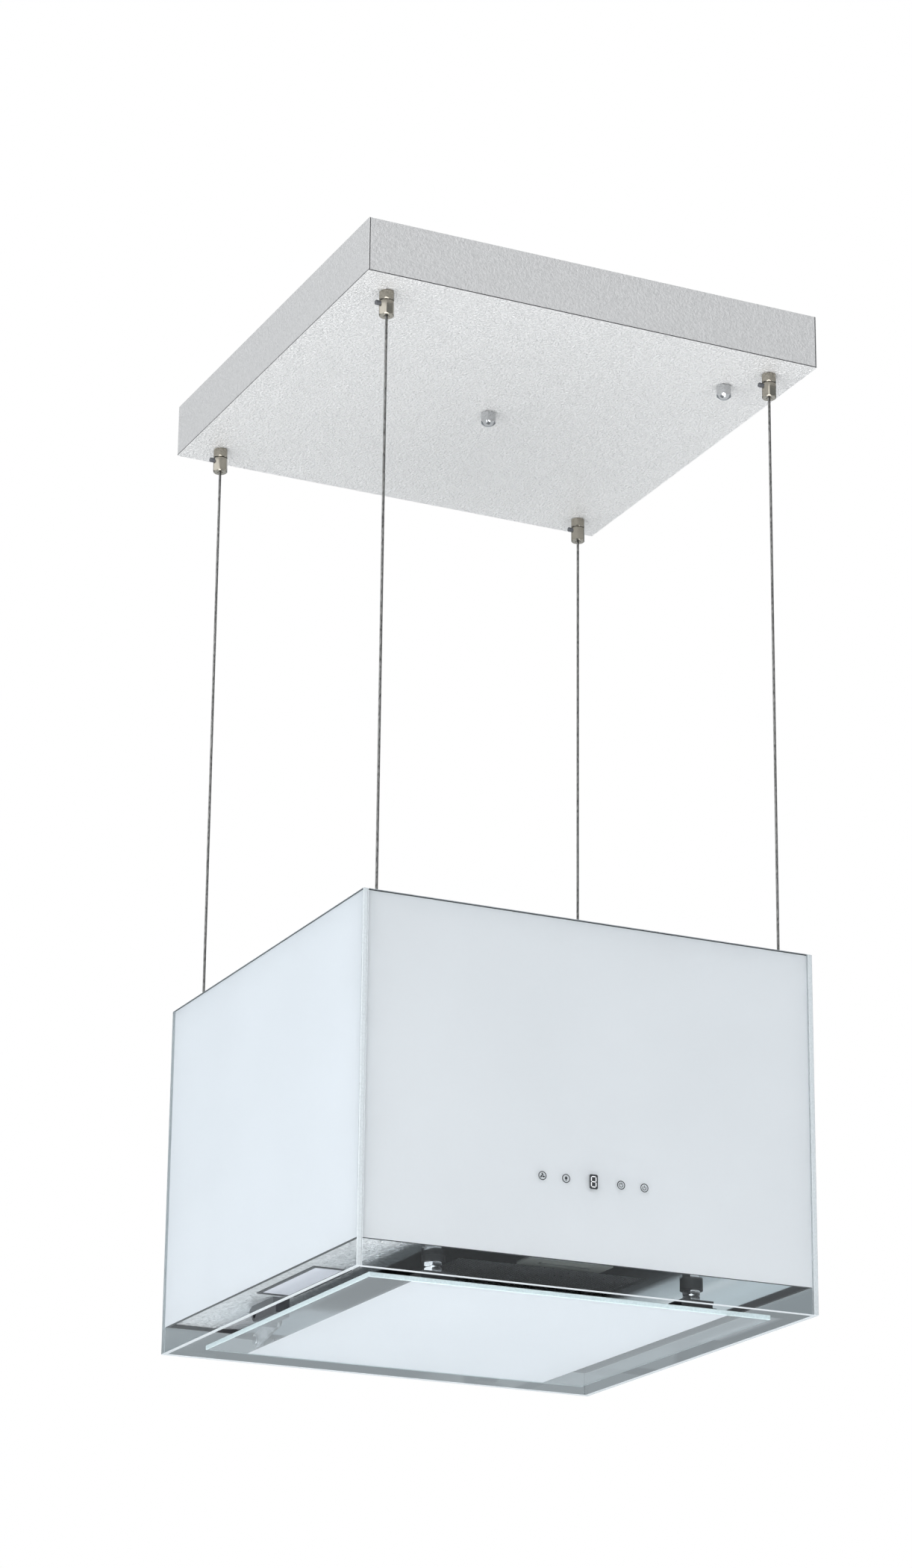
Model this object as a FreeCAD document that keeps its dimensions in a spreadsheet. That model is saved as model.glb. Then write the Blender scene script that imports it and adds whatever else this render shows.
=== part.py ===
import FreeCAD, Part
import Sketcher
import os
import re

# Island range hood: a square steel ceiling box, four suspension cables, and a glass-clad steel body
# with a drop-down baffle panel.  Millimetres, +Z up, front towards -Y.  The origin is the middle of
# the face that lies against the ceiling.

SIZES = {
    # ceiling box
    "canopy_width": 420, "canopy_height": 48, "canopy_wall": 1.2, "canopy_bend": 0.3,
    "plate_width": 380, "plate_thick": 3, "bay_length": 300, "bay_width": 130, "bay_offset": 85,
    "bolt_spacing_x": 340, "bolt_spacing_y": 200, "bolt_hole": 9,
    "post_radius": 8, "stud_hole": 4.3, "stud_radius": 3.95, "stud_bore": 4,
    "cover_stud_x": 157, "cover_stud_y": 142, "cover_stud_length": 55,
    "seam_inset": 0.4, "seam_width": 0.9, "seam_depth": 0.7,
    "cap_flats": 12.4, "cap_turned": 7, "cap_chamfer": 1, "cap_hex_height": 10,
    "cap_seat_radius": 5.9, "cap_dome_radius": 7.8, "cap_bore_depth": 11,
    # cable grips and cables
    "cable_spacing": 360, "cable_radius": 1.2, "cable_drop": 521, "cable_rise": 14,
    "grip_flats": 12, "grip_turned": 6.6, "grip_chamfer": 0.9, "grip_nut_height": 8.4,
    "grip_groove": 0.5, "grip_body_height": 13.2, "grip_stud_rise": 12, "grip_bore": 1.6,
    "grip_mouth": 2.6, "pin_radius": 2.05, "pin_hole": 2.1, "pin_length": 6.6, "pin_tip": 10.2,
    "pin_drop": 11.4, "pin_hole_depth": 2, "pin_round": 0.6,
    "anchor_height": 9, "anchor_stud": 20, "anchor_bore": 1.25, "anchor_floor": 1,
    "anchor_nut_flats": 13, "anchor_nut_height": 6.5,
    # glass body
    "glass_width": 400, "glass_height": 297, "glass_thick": 4, "glass_joint": 0.1,
    "glass_chamfer": 0.4, "clear_strip": 22.5, "lip_height": 3, "lip_width": 2.5,
    "pad_side": 60, "pad_spread": 220,
    # steel casing
    "casing_width": 386, "sheet": 1.2, "floor_width": 391, "top_recess": 12,
    "rail_width": 20, "rail_height": 12, "rail_wall": 2, "rail_length": 376,
    "outlet_width": 220, "grille_width": 240, "grille_thick": 3, "slot_length": 200,
    "slot_width": 6, "slot_pitch": 12, "slot_count": 17,
    "screw_head": 3.5, "screw_shank": 1.9, "screw_hole": 2, "screw_length": 9,
    "screw_place": 115,
    # blower
    "deck_width": 384, "deck_height": 120, "inlet_radius": 64, "blower_y": 10,
    "scroll_radius": 112, "scroll_height": 75, "scroll_wall": 1.5, "duct_width": 86,
    "duct_reach": 150, "motor_radius": 44, "motor_height": 58, "shaft_radius": 4,
    "shaft_length": 56, "hub_radius": 12, "hub_bore": 4.05, "wheel_radius": 72,
    "wheel_height": 58, "wheel_ring": 9, "wheel_disc": 1.5, "blade_count": 30,
    "blade_thick": 1, "wheel_lift": 7,
    "carbon_width": 216, "carbon_thick": 14, "carbon_drop": 1,
    # electrics
    "box_length": 110, "box_width": 56, "box_height": 40, "box_x": 120, "box_y": 145,
    "capacitor_radius": 17, "capacitor_height": 60, "gland_flats": 22, "gland_hex": 4,
    "gland_radius": 10, "gland_height": 10, "gland_bore": 4, "gland_thread": 8, "gland_y": 165,
    "touch_height": 86, "board_length": 112, "board_width": 26, "board_thick": 1.6,
    "board_gap": 4, "window_length": 120, "window_width": 34, "key_inner": 24, "key_outer": 44.5,
    "key_radius": 3.7, "display_length": 8, "display_width": 12,
    # lamps
    "lamp_x": 163, "lamp_y": 16, "lamp_width": 30, "lamp_length": 115, "bezel_rim": 3,
    "bezel_proud": 0.8, "lens_thick": 2.5, "lens_gap": 0.2, "lamp_box_height": 12,
    # grease filter
    "filter_x": 10, "filter_y": 50, "filter_width": 185, "filter_length": 250,
    "filter_thick": 9.5, "filter_rail": 10, "filter_front_rail": 24, "filter_gap": 0.5,
    "mesh_thick": 4, "mesh_lift": 2, "mesh_gap": 0.1, "latch_y": 169, "latch_width": 72,
    "latch_depth": 24, "latch_thick": 1.2, "latch_slot": 46, "latch_slot_depth": 11,
    "latch_tab": 44, "latch_tab_depth": 4, "latch_tab_height": 6.5, "latch_tab_y": 3.3,
    "latch_pocket": 48, "latch_pocket_depth": 13, "latch_pocket_height": 6,
    # baffle panel and its hinge
    "baffle_width": 350, "baffle_length": 330, "baffle_thick": 4, "baffle_y": 2,
    "arm_x": 140, "arm_thick": 2.5, "arm_radius": 6, "front_pivot_y": 95,
    "front_pivot_z": 18.9, "back_pivot_y": 136, "back_pivot_z": 10.6, "arm_gap": 0.35,
    "hinge_pin": 3, "hinge_hole": 3.05, "hinge_head": 4.5, "head_thick": 1.2,
    "bracket_x": 154, "bracket_width": 12, "bracket_length": 45, "boss_radius": 5.5,
    "block_width": 9, "block_length": 20, "catch_x": 113, "catch_y": 148, "sleeve_radius": 9.2,
    "sleeve_height": 5, "sleeve_bore": 4.1, "post_height": 8.8, "post_flats": 13.8,
    "post_turned": 7.8, "post_chamfer": 0.8, "post_seam": 0.4, "post_stud": 4,
    "catch_gap": 0.3, "catch_pad_width": 28, "catch_pad_length": 22,
}

# levels, as formulas of the sizes
CANOPY_UNDER = "(-canopy_height)"
GLASS_TOP = "(-canopy_height - cable_drop)"
GLASS_UNDER = "(-canopy_height - cable_drop - glass_height)"
FLOOR = f"({GLASS_UNDER} + clear_strip + lip_height)"
TOP = f"({GLASS_TOP} - top_recess)"
DECK = f"({GLASS_UNDER} + deck_height)"
SIDES = {"left": "-1", "right": "1"}
CORNERS = {
    "front_left": ("-1", "-1"),
    "front_right": ("1", "-1"),
    "back_left": ("-1", "1"),
    "back_right": ("1", "1"),
}
ALONG_X = FreeCAD.Rotation(FreeCAD.Vector(0, 1, 0), 90)
ALONG_Y = FreeCAD.Rotation(FreeCAD.Vector(1, 0, 0), -90)

doc = FreeCAD.newDocument("island_range_hood")
sheet = doc.addObject("Spreadsheet::Sheet", "Sizes")
subparts = []


# ---------------------------------------------------------------- helpers

def fill_sheet():
    """Write every driving size in the sheet under its own name."""
    for row, (alias, value) in enumerate(SIZES.items(), 1):
        sheet.set(f"A{row}", alias)
        sheet.set(f"B{row}", str(value))
        sheet.setAlias(f"B{row}", alias)
    doc.recompute()


def formula(text):
    """The expression that reads each named size of text from the sheet."""
    def name_in_sheet(word):
        name = word.group()
        return f"Sizes.{name}" if name in SIZES else name
    return re.sub(r"\b[a-z][a-z_]*\b", name_in_sheet, text)


def bind(item, **sizes):
    """Bind properties of an object to formulas of the sheet's sizes."""
    for name, text in sizes.items():
        item.setExpression(name, formula(text))


def place(item, x="0", y="0", z="0"):
    """Bind an object's position."""
    for axis, text in (("x", x), ("y", y), ("z", z)):
        item.setExpression(f".Placement.Base.{axis}", formula(text))


def box(length, width, height, x="0", y="0", z="0"):
    """A box centred on x and y that stands on z."""
    item = doc.addObject("Part::Box", "Box")
    bind(item, Length=length, Width=width, Height=height)
    place(item, f"{x} - ({length}) / 2", f"{y} - ({width}) / 2", z)
    return item


def rod(radius, length, x="0", y="0", z="0", turn=None):
    """A cylinder that starts at x, y, z and runs along +Z, or along +X or +Y when turned."""
    item = doc.addObject("Part::Cylinder", "Rod")
    bind(item, Radius=radius, Height=length)
    if turn:
        item.Placement = FreeCAD.Placement(FreeCAD.Vector(), turn)
    place(item, x, y, z)
    return item


def hexagon(flats, height, x="0", y="0", z="0"):
    """A hexagonal prism that stands on z."""
    item = doc.addObject("Part::Prism", "Hexagon")
    item.Polygon = 6
    bind(item, Circumradius=f"{flats} / sqrt(3)", Height=height)
    place(item, x, y, z)
    return item


def fuse(*items):
    """One solid from several that touch."""
    item = doc.addObject("Part::MultiFuse", "Fuse")
    item.Shapes = list(items)
    return item


def group(items):
    """Several separate solids as one piece list."""
    item = doc.addObject("Part::Compound", "Group")
    item.Links = list(items)
    return item


def cut(base, *tools):
    """The base with the tools taken away."""
    item = doc.addObject("Part::Cut", "Cut")
    item.Base = base
    item.Tool = tools[0] if len(tools) == 1 else group(tools)
    return item


def common(first, second):
    """What two solids share."""
    item = doc.addObject("Part::Common", "Common")
    item.Base = first
    item.Tool = second
    return item


def soften(kind, base, size, chosen):
    """Fillet or chamfer the edges of base that chosen(edge) accepts."""
    doc.recompute()
    item = doc.addObject(f"Part::{kind}", kind)
    item.Base = base
    amount = float(sheet.get(size))
    edges = enumerate(base.Shape.Edges, 1)
    item.Edges = [(index, amount, amount) for index, edge in edges if chosen(edge)]
    return item


def every_edge(edge):
    return True


def is_round(edge):
    return isinstance(edge.Curve, Part.Circle)


def subpart(item, label, *where, z="0"):
    """Name a finished piece, list it, and move it to x, y, z or up to z unless it is in place."""
    item.Label = label
    if where:
        place(item, *where)
    elif z != "0":
        place(item, z=z)
    subparts.append(item)


def body_with_sketch(role="XY_Plane"):
    """A new body with a sketch on one of its own origin planes."""
    body = doc.addObject("PartDesign::Body", "Body")
    return body, sketch_on(body, role)


def sketch_on(body, role="XY_Plane"):
    sketch = body.newObject("Sketcher::SketchObject", "Sketch")
    sketch.AttachmentSupport = [(origin_item(body, role), "")]
    sketch.MapMode = "FlatFace"
    return sketch


def origin_item(body, role):
    """One of a body's own origin planes or axes."""
    return next(item for item in body.Origin.OriginFeatures if item.Role == role)


def name_constraint(sketch, constraint, name, text):
    index = sketch.addConstraint(constraint)
    sketch.renameConstraint(index, name)
    sketch.setExpression(f"Constraints.{name}", formula(text))


def centred_rectangle(sketch, width, height):
    """A rectangle about the sketch's origin."""
    corner = [FreeCAD.Vector(*point, 0) for point in ((-9, -7), (9, -7), (9, 7), (-9, 7))]
    lines = [Part.LineSegment(corner[i], corner[(i + 1) % 4]) for i in range(4)]
    sketch.addGeometry(lines, False)
    for i in range(4):
        sketch.addConstraint(Sketcher.Constraint("Coincident", i, 2, (i + 1) % 4, 1))
    for i in (0, 2):
        sketch.addConstraint(Sketcher.Constraint("Horizontal", i))
    for i in (1, 3):
        sketch.addConstraint(Sketcher.Constraint("Vertical", i))
    sketch.addConstraint(Sketcher.Constraint("Symmetric", 0, 1, 1, 2, -1, 1))
    name_constraint(sketch, Sketcher.Constraint("DistanceX", 0, 1, 0, 2, 18), "width", width)
    name_constraint(sketch, Sketcher.Constraint("DistanceY", 1, 1, 1, 2, 14), "height", height)


def centred_circle(sketch, radius, name="radius"):
    """A circle about the sketch's origin."""
    index = sketch.addGeometry(Part.Circle(FreeCAD.Vector(), FreeCAD.Vector(0, 0, 1), 5), False)
    sketch.addConstraint(Sketcher.Constraint("Coincident", index, 3, -1, 1))
    name_constraint(sketch, Sketcher.Constraint("Radius", index, 5), name, radius)


def pad(body, sketch, length, reverse=False):
    feature = body.newObject("PartDesign::Pad", "Pad")
    feature.Profile = sketch
    bind(feature, Length=length)
    feature.Reversed = reverse
    return feature


def pocket_through(body, sketch):
    feature = body.newObject("PartDesign::Pocket", "Pocket")
    feature.Profile = sketch
    feature.Type = "ThroughAll"
    feature.Midplane = True
    return feature


def shift_sketch(sketch, x="0", y="0"):
    """Move a sketch within its plane."""
    sketch.setExpression(".AttachmentOffset.Base.x", formula(x))
    sketch.setExpression(".AttachmentOffset.Base.y", formula(y))


def repeat_about_z(body, feature, count):
    """Repeat a feature in a full circle about the body's Z axis."""
    pattern = body.newObject("PartDesign::PolarPattern", "Circle")
    pattern.Originals = [feature]
    pattern.Axis = (origin_item(body, "Z_Axis"), [""])
    pattern.Angle = 360
    pattern.Occurrences = count
    body.Tip = pattern
    return pattern


def at_corners(make):
    """One piece at each corner where a cable hangs."""
    half = "cable_spacing / 2"
    return [make(f"{i} * {half}", f"{j} * {half}") for i, j in CORNERS.values()]


def at_sides(make):
    return [make(side) for side in SIDES.values()]


# ---------------------------------------------------------------- ceiling box

def ceiling_plate():
    """Square steel frame with a cross bar, bolted to the ceiling."""
    plate = box("plate_width", "plate_width", "plate_thick")
    bays = [box("bay_length", "bay_width", "plate_thick", y=f"{s} * bay_offset")
            for s in SIDES.values()]
    holes = [rod("bolt_hole / 2", "plate_thick", f"{i} * bolt_spacing_x / 2",
                 f"{j} * bolt_spacing_y / 2") for i, j in CORNERS.values()]
    subpart(cut(plate, *bays, *holes), "ceiling_plate", z="-plate_thick")


def hanger_posts():
    """Hollow posts under the ceiling plate that the cable grips screw into."""
    height = "canopy_height - plate_thick - canopy_wall"
    posts = at_corners(lambda x, y: cut(rod("post_radius", height, x, y),
                                        rod("stud_bore", height, x, y)))
    subpart(group(posts), "hanger_posts", z="canopy_wall - canopy_height")


COVER_STUDS = (("0", "0"), ("cover_stud_x", "-cover_stud_y"))


def canopy_cover():
    """Steel box, open towards the ceiling, with a narrow seam round its foot and down corners."""
    block = box("canopy_width", "canopy_width", "canopy_height")

    def outer_bend(edge):
        heights = [vertex.Z for vertex in edge.Vertexes]
        return min(heights) < 1

    rounded = soften("Fillet", block, "canopy_bend", outer_bend)
    inside = box("canopy_width - 2 * canopy_wall", "canopy_width - 2 * canopy_wall",
                 "canopy_height", z="canopy_wall")
    holes = at_corners(lambda x, y: rod("stud_hole", "canopy_wall", x, y))
    holes += [rod("stud_hole", "canopy_wall", x, y) for x, y in COVER_STUDS]
    within = "canopy_width - 2 * seam_depth"
    seam = cut(box("canopy_width", "canopy_width", "seam_width", z="seam_inset"),
               box(within, within, "seam_width", z="seam_inset"))
    corner_seams = [box("seam_width", "2 * seam_depth", "canopy_height - seam_inset",
                        f"{i} * (canopy_width / 2 - seam_inset - seam_width / 2)",
                        f"{j} * canopy_width / 2", "seam_inset") for i, j in CORNERS.values()]
    subpart(cut(rounded, inside, *holes, seam, *corner_seams), "canopy_cover", z=CANOPY_UNDER)


def cover_fasteners():
    """Two studs that hold the cover up, each with a low domed cap nut."""
    studs = [rod("stud_radius", "cover_stud_length", x, y) for x, y in COVER_STUDS]
    subpart(group(studs), "cover_studs", z="-plate_thick - cover_stud_length")
    nuts = [cap_nut(x, y) for x, y in COVER_STUDS]
    subpart(group(nuts), "cover_cap_nuts", z=f"{CANOPY_UNDER} - cap_hex_height")


def cap_nut(x, y):
    """Turned hexagon with a low rounded cap below it and a blind thread from above."""
    dome = doc.addObject("Part::Sphere", "Dome")
    bind(dome, Radius="cap_dome_radius")
    place(dome, x, y, "sqrt(cap_dome_radius ^ 2 - cap_seat_radius ^ 2)")
    cap = common(dome, rod("cap_seat_radius", "cap_dome_radius", x, y, "-cap_dome_radius / 2"))
    bar = turned_hexagon("cap_hex_height", x, y, flats="cap_flats", turned="cap_turned",
                         chamfer="cap_chamfer")
    thread = rod("stud_bore", "cap_bore_depth", x, y, "cap_hex_height - cap_bore_depth")
    return cut(fuse(bar, cap), thread)


# ---------------------------------------------------------------- cable grips and cables

def turned_hexagon(height, x="0", y="0", z="0", flats="grip_flats", turned="grip_turned",
                   chamfer="grip_chamfer"):
    """Hexagon bar whose corners are turned off at both ends."""
    outline = soften("Chamfer", rod(turned, height, x, y, z), chamfer, is_round)
    return common(hexagon(flats, height, x, y, z), outline)


def grip_body():
    """Lower barrel of a grip, with its threaded stud, cable bore and release pin hole."""
    under = "(-grip_nut_height - grip_groove - grip_body_height)"
    neck = "(-grip_nut_height - grip_groove)"
    barrel = turned_hexagon("grip_body_height", z=under)
    stud = rod("stud_radius", f"grip_stud_rise - {neck}", z=neck)
    bore = rod("grip_bore", f"grip_stud_rise - {under}", z=under)
    mouth = doc.addObject("Part::Cone", "Mouth")
    bind(mouth, Radius1="grip_mouth", Radius2="grip_bore", Height="grip_mouth - grip_bore")
    place(mouth, z=under)
    pin_hole = rod("pin_hole", "grip_turned - pin_hole_depth", "-grip_turned", "0", "-pin_drop",
                   ALONG_X)
    return cut(fuse(barrel, stud), bore, mouth, pin_hole)


def grips():
    """Four cable grips below the cover: nut, barrel and sprung release pin."""
    half = "cable_spacing / 2"
    nuts = at_corners(lambda x, y: cut(turned_hexagon("grip_nut_height", x, y),
                                       rod("stud_bore", "grip_nut_height", x, y)))
    subpart(group(nuts), "grip_nuts", z=f"{CANOPY_UNDER} - grip_nut_height")
    for corner, (i, j) in CORNERS.items():
        where = (f"{i} * {half}", f"{j} * {half}", CANOPY_UNDER)
        subpart(grip_body(), f"grip_{corner}", *where)
        pin = soften("Fillet", rod("pin_radius", "pin_length", turn=ALONG_X), "pin_round",
                     lambda edge: is_round(edge) and edge.CenterOfMass.x < 1)
        subpart(pin, f"release_pin_{corner}", f"{where[0]} - pin_tip", where[1],
                f"{CANOPY_UNDER} - pin_drop")


def cables():
    """Four straight suspension cables, from the body's anchors up into the grips."""
    half = "cable_spacing / 2"
    start = f"{TOP} + anchor_floor"
    for corner, (i, j) in CORNERS.items():
        cable = rod("cable_radius", f"cable_rise - canopy_height - ({start})")
        subpart(cable, f"cable_{corner}", f"{i} * {half}", f"{j} * {half}", start)


def cable_anchors():
    """Threaded anchors on the body's top, with the rails and nuts that hold them."""
    def anchor(x, y):
        solid = fuse(turned_hexagon("anchor_height", x, y),
                     rod("stud_radius", "anchor_stud", x, y, "-anchor_stud"))
        return cut(solid, rod("anchor_bore", "anchor_height", x, y, "anchor_floor"))
    subpart(group(at_corners(anchor)), "cable_anchors", z=TOP)

    nuts = at_corners(lambda x, y: cut(hexagon("anchor_nut_flats", "anchor_nut_height", x, y),
                                       rod("stud_bore", "anchor_nut_height", x, y)))
    subpart(group(nuts), "anchor_nuts", z=f"{TOP} - sheet - rail_height - anchor_nut_height")

    def rail(side):
        x = f"{side} * cable_spacing / 2"
        holes = [rod("stud_hole", "rail_height", x, f"{end} * cable_spacing / 2")
                 for end in SIDES.values()]
        inside = box("rail_width - 2 * rail_wall", "rail_length", "rail_height - 2 * rail_wall",
                     x, z="rail_wall")
        return cut(box("rail_width", "rail_length", "rail_height", x), inside, *holes)
    subpart(group(at_sides(rail)), "hanger_rails", z=f"{TOP} - sheet - rail_height")


# ---------------------------------------------------------------- glass

def glass_panels():
    """Four upright glass panels; the side ones cover the ends of the front and back ones."""
    offset = "(glass_width - glass_thick) / 2"
    inner = "glass_width - 2 * glass_thick - 2 * glass_joint"
    for side, sign in SIDES.items():
        panel = soften("Chamfer", box("glass_thick", "glass_width", "glass_height"),
                       "glass_chamfer", every_edge)
        subpart(panel, f"glass_{side}", f"{sign} * {offset}", "0", GLASS_UNDER)
    for side, sign in (("front", "-1"), ("back", "1")):
        panel = soften("Chamfer", box(inner, "glass_thick", "glass_height"),
                       "glass_chamfer", every_edge)
        subpart(panel, f"glass_{side}", "0", f"{sign} * {offset}", GLASS_UNDER)


def glass_pads():
    """Adhesive pads between the casing's walls and the glass."""
    gap = "(glass_width / 2 - glass_thick - casing_width / 2)"
    middle = f"(casing_width / 2 + {gap} / 2)"
    pads = []
    for i, j in CORNERS.values():
        pads.append(box(gap, "pad_side", "pad_side", f"{i} * {middle}", f"{j} * pad_spread / 2"))
        pads.append(box("pad_side", gap, "pad_side", f"{i} * pad_spread / 2", f"{j} * {middle}"))
    subpart(group(pads), "glass_pads", z=f"{GLASS_UNDER} + glass_height / 2")


# ---------------------------------------------------------------- steel casing

def casing():
    """Walls, underside, edge lip and top plate of the steel body."""
    height = f"({TOP} - sheet) - ({FLOOR} + sheet)"
    walls = box("casing_width", "casing_width", height)
    inside = box("casing_width - 2 * sheet", "casing_width - 2 * sheet", height)
    window = box("window_length", "4 * sheet", "window_width", "0", "-casing_width / 2",
                 f"{GLASS_UNDER} + touch_height - window_width / 2 - ({FLOOR} + sheet)")
    subpart(cut(walls, inside, window), "casing_walls", z=f"{FLOOR} + sheet")

    opening = box("filter_width + 2 * filter_gap", "filter_length + 2 * filter_gap", "sheet",
                  "-filter_x", "-filter_y")
    lamps = at_sides(lambda side: box("lamp_width - bezel_rim - lens_gap",
                                      "lamp_length - bezel_rim - lens_gap", "sheet",
                                      f"{side} * lamp_x", "-lamp_y"))
    subpart(cut(box("floor_width", "floor_width", "sheet"), opening, *lamps),
            "casing_floor", z=FLOOR)

    ring = cut(box("floor_width", "floor_width", "lip_height"),
               box("floor_width - 2 * lip_width", "floor_width - 2 * lip_width", "lip_height"))
    subpart(ring, "edge_lip", z=f"{FLOOR} - lip_height")

    holes = at_corners(lambda x, y: rod("stud_hole", "sheet", x, y))
    holes.append(box("outlet_width", "outlet_width", "sheet"))
    holes.append(rod("gland_thread", "sheet", "0", "gland_y"))
    holes += [rod("screw_hole", "sheet", f"{i} * screw_place", f"{j} * screw_place")
              for i, j in CORNERS.values()]
    subpart(cut(box("casing_width", "casing_width", "sheet"), *holes), "casing_top",
            z=f"{TOP} - sheet")


def outlet_grille():
    """Slotted plate over the air outlet, with its four screws."""
    body, sketch = body_with_sketch()
    centred_rectangle(sketch, "grille_width", "grille_width")
    pad(body, sketch, "grille_thick")
    slot_sketch = sketch_on(body)
    centred_rectangle(slot_sketch, "slot_length", "slot_width")
    reach = "slot_pitch * (slot_count - 1)"
    shift_sketch(slot_sketch, y=f"-{reach} / 2")
    slot = pocket_through(body, slot_sketch)
    row = body.newObject("PartDesign::LinearPattern", "Row")
    row.Originals = [slot]
    row.Direction = (origin_item(body, "Y_Axis"), [""])
    row.Occurrences = SIZES["slot_count"]
    bind(row, Length=reach)
    body.Tip = row
    hole_sketch = sketch_on(body)
    centred_circle(hole_sketch, "screw_hole")
    shift_sketch(hole_sketch, "screw_place", "screw_place")
    repeat_about_z(body, pocket_through(body, hole_sketch), 4)
    subpart(body, "outlet_grille", z=TOP)

    def screw(x, y):
        head = rod("screw_head", "screw_hole", x, y, "grille_thick")
        return fuse(head, rod("screw_shank", "screw_length", x, y, "grille_thick - screw_length"))
    screws = [screw(f"{i} * screw_place", f"{j} * screw_place") for i, j in CORNERS.values()]
    subpart(group(screws), "outlet_screws", z=TOP)


# ---------------------------------------------------------------- blower

def blower():
    """Deck, scroll housing, motor, fan wheel and carbon filter inside the casing."""
    body, sketch = body_with_sketch()
    centred_rectangle(sketch, "deck_width - 2 * sheet", "deck_width - 2 * sheet")
    pad(body, sketch, "sheet")
    inlet = sketch_on(body)
    centred_circle(inlet, "inlet_radius")
    shift_sketch(inlet, y="blower_y")
    pocket_through(body, inlet)
    subpart(body, "blower_deck", z=DECK)

    def scroll(inset):
        duct = box(f"duct_width - 2 * {inset}", "duct_reach", f"scroll_height - 2 * {inset}",
                   "scroll_radius / 2", "duct_reach / 2", inset)
        return fuse(rod(f"scroll_radius - {inset}", f"scroll_height - 2 * {inset}", z=inset), duct)
    hollow = cut(scroll("0"), scroll("scroll_wall"), rod("inlet_radius", "scroll_wall"),
                 rod("shaft_radius * 2", "scroll_wall", z="scroll_height - scroll_wall"))
    subpart(hollow, "blower_scroll", "0", "blower_y", f"{DECK} + sheet")

    motor_under = f"{DECK} + sheet + scroll_height"
    motor = fuse(rod("motor_radius", "motor_height"),
                 rod("shaft_radius", "shaft_length", z="-shaft_length"))
    rounded = soften("Fillet", motor, "filter_rail",
                     lambda edge: is_round(edge) and edge.CenterOfMass.z > SIZES["shaft_length"] - 1)
    subpart(rounded, "blower_motor", "0", "blower_y", motor_under)

    wheel = doc.addObject("PartDesign::Body", "Body")
    disc = sketch_on(wheel)
    centred_circle(disc, "wheel_radius", "outside")
    centred_circle(disc, "hub_bore", "bore")
    pad(wheel, disc, "wheel_disc")
    hub = sketch_on(wheel)
    centred_circle(hub, "hub_radius", "outside")
    centred_circle(hub, "hub_bore", "bore")
    pad(wheel, hub, "wheel_height / 2", reverse=True)
    blade = sketch_on(wheel)
    centred_rectangle(blade, "wheel_ring", "blade_thick")
    shift_sketch(blade, "wheel_radius - wheel_ring / 2")
    repeat_about_z(wheel, pad(wheel, blade, "wheel_height", reverse=True), SIZES["blade_count"])
    ring = sketch_on(wheel)
    centred_circle(ring, "wheel_radius", "outside")
    centred_circle(ring, "wheel_radius - wheel_ring", "inside")
    ring.setExpression(".AttachmentOffset.Base.z", formula("-wheel_height"))
    pad(wheel, ring, "wheel_disc")
    subpart(wheel, "fan_wheel", "0", "blower_y", f"{DECK} + sheet + wheel_lift + wheel_height")

    under = f"{TOP} - sheet - carbon_drop - carbon_thick"
    subpart(box("carbon_width", "carbon_width", "carbon_thick", z=under), "carbon_filter")


# ---------------------------------------------------------------- electrics

def electrics():
    """Control box, capacitor, supply gland and the touch board behind the front glass."""
    shell = cut(box("box_length", "box_width", "box_height"),
                box("box_length - 4 * sheet", "box_width - 4 * sheet", "box_height - 2 * sheet",
                    z="2 * sheet"))
    subpart(shell, "control_box", "-box_x", "-box_y", f"{DECK} + sheet")
    subpart(rod("capacitor_radius", "capacitor_height"), "run_capacitor", "box_x", "-box_y",
            f"{DECK} + sheet")

    nut = fuse(hexagon("gland_flats", "gland_hex"),
               rod("gland_radius", "gland_height"),
               rod("gland_thread - 0.1", "gland_height", z="-gland_height"))
    gland = cut(nut, rod("gland_bore", "2 * gland_height", z="-gland_height"))
    subpart(gland, "supply_gland", "0", "gland_y", TOP)

    inner_face = "(-glass_width / 2 + glass_thick)"
    level = f"({GLASS_UNDER} + touch_height)"
    board_y = f"{inner_face} + board_gap + board_thick / 2"
    subpart(box("board_length", "board_thick", "board_width", "0", board_y,
                f"{level} - board_width / 2"), "touch_board")
    keys = [rod("key_radius", "board_gap", f"{side} * {place_x}", turn=ALONG_Y)
            for side in SIDES.values() for place_x in ("key_inner", "key_outer")]
    subpart(group(keys), "touch_keys", "0", inner_face, level)
    subpart(box("display_length", "board_gap", "display_width", "0",
                f"{inner_face} + board_gap / 2", f"{level} - display_width / 2"),
            "display_module")


# ---------------------------------------------------------------- lamps

def lamps():
    """A long lamp on each side of the underside: rim, lens and light box."""
    def rim(side):
        x = f"{side} * lamp_x"
        return cut(box("lamp_width", "lamp_length", "bezel_proud", x),
                   box("lamp_width - 2 * bezel_rim", "lamp_length - 2 * bezel_rim", "bezel_proud",
                       x))
    subpart(group(at_sides(rim)), "lamp_rims", "0", "-lamp_y", f"{FLOOR} - bezel_proud")

    inset = "(2 * bezel_rim + 2 * lens_gap)"
    lenses = at_sides(lambda side: box(f"lamp_width - {inset}", f"lamp_length - {inset}",
                                       "lens_thick", f"{side} * lamp_x"))
    subpart(group(lenses), "lamp_lenses", "0", "-lamp_y", f"{FLOOR} - lens_gap")

    boxes = at_sides(lambda side: box("lamp_width - bezel_rim", "lamp_length - bezel_rim",
                                      "lamp_box_height", f"{side} * lamp_x"))
    subpart(group(boxes), "lamp_boxes", "0", "-lamp_y", f"{FLOOR} + lens_thick")


# ---------------------------------------------------------------- grease filter

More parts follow.
